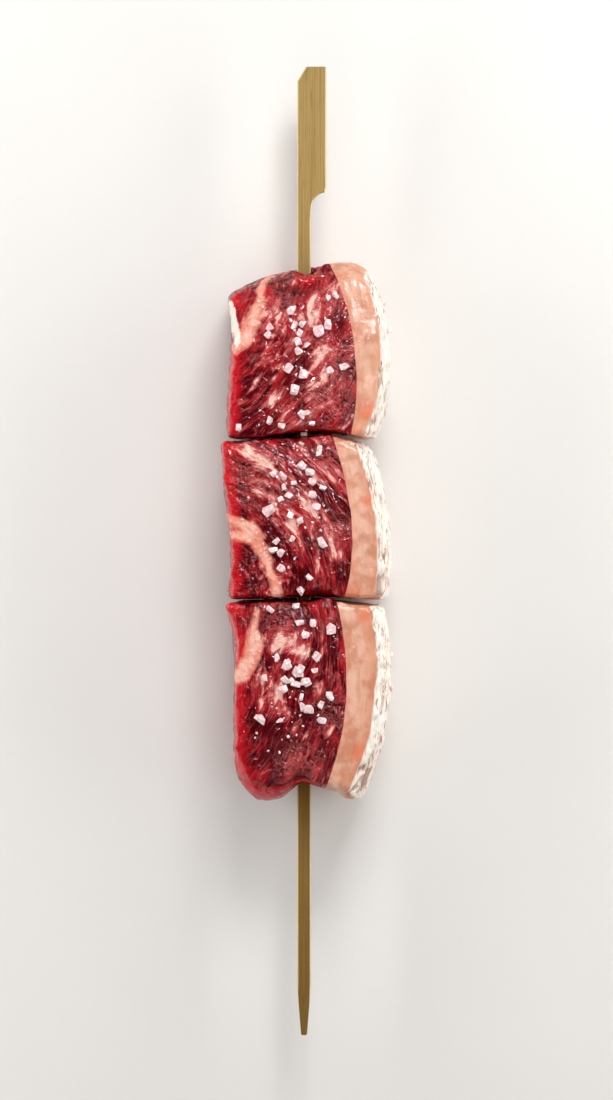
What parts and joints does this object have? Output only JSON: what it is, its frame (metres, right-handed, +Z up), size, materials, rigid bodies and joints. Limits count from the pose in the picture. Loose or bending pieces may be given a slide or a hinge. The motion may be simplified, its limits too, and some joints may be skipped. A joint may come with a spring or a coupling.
{
  "type": "raw beef kebab skewer",
  "caption": "Raw marbled beef blocks with fat caps on a flat bamboo skewer with a paddle handle, lying on their cut backs.",
  "frame": {"origin": "centre of the object's base on the surface it lies on", "axes": "+Z up, out of the blocks' front faces; +Y along the skewer, from the point to the handle; +X towards the fat caps"},
  "size_m": [0.0522, 0.3, 0.0388],
  "materials": {
    "bamboo": "satin",
    "lean_beef": "satin",
    "beef_fat": "satin"
  },
  "bodies": {
    "root": {"bamboo_skewer": "bamboo", "lean_1": "lean_beef", "lean_2": "lean_beef", "lean_3": "lean_beef", "fat_cap_1": "beef_fat", "fat_cap_2": "beef_fat", "fat_cap_3": "beef_fat"}
  },
  "joints": []
}
